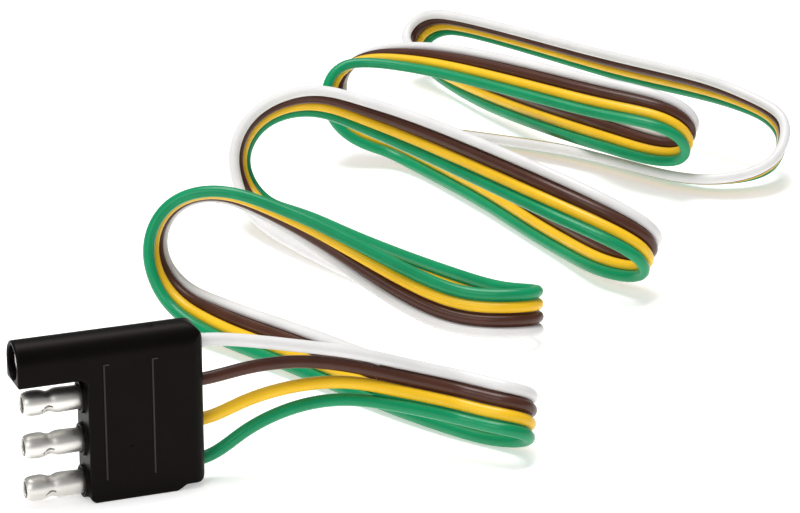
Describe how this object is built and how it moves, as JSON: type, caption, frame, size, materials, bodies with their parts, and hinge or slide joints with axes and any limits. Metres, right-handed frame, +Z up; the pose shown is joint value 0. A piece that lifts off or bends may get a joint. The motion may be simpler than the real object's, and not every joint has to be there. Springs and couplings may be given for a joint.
{
  "type": "trailer wiring connector",
  "caption": "Trailer-end flat wiring connector: bare bullet contacts beside one shrouded socket in a slim moulded body, with a bonded flat wire ribbon laid in loose folds.",
  "frame": {"origin": "centre of the connector's footprint on the surface it stands on, measured without the wires", "axes": "+X from the mating end to the wire end, +Y through the connector's thickness towards its plain back, +Z up the row of contacts from the bare bullets to the shrouded socket"},
  "size_m": [0.2576, 0.2954, 0.0377],
  "materials": {
    "black_rubber": "satin moulded black, soft and slightly worn at the edges",
    "carrier_nylon": "plain moulded nylon, hidden inside",
    "tinned_contact": "bright tin plate on rolled brass",
    "bare_copper": "bare stranded copper",
    "green_insulation": "semi-gloss flexible vinyl",
    "yellow_insulation": "semi-gloss flexible vinyl",
    "brown_insulation": "semi-gloss flexible vinyl",
    "white_insulation": "semi-gloss flexible vinyl"
  },
  "bodies": {
    "root": {"overmould_body": "black_rubber", "terminal_carrier": "carrier_nylon", "bullet_green": "tinned_contact", "bullet_yellow": "tinned_contact", "bullet_brown": "tinned_contact", "socket_contact_white": "tinned_contact", "copper_core_green": "bare_copper", "copper_core_yellow": "bare_copper", "copper_core_brown": "bare_copper", "copper_core_white": "bare_copper", "wire_green": "green_insulation", "wire_yellow": "yellow_insulation", "wire_brown": "brown_insulation", "wire_white": "white_insulation", "stripped_tail_green": "bare_copper", "stripped_tail_yellow": "bare_copper", "stripped_tail_brown": "bare_copper", "stripped_tail_white": "bare_copper"}
  },
  "joints": []
}
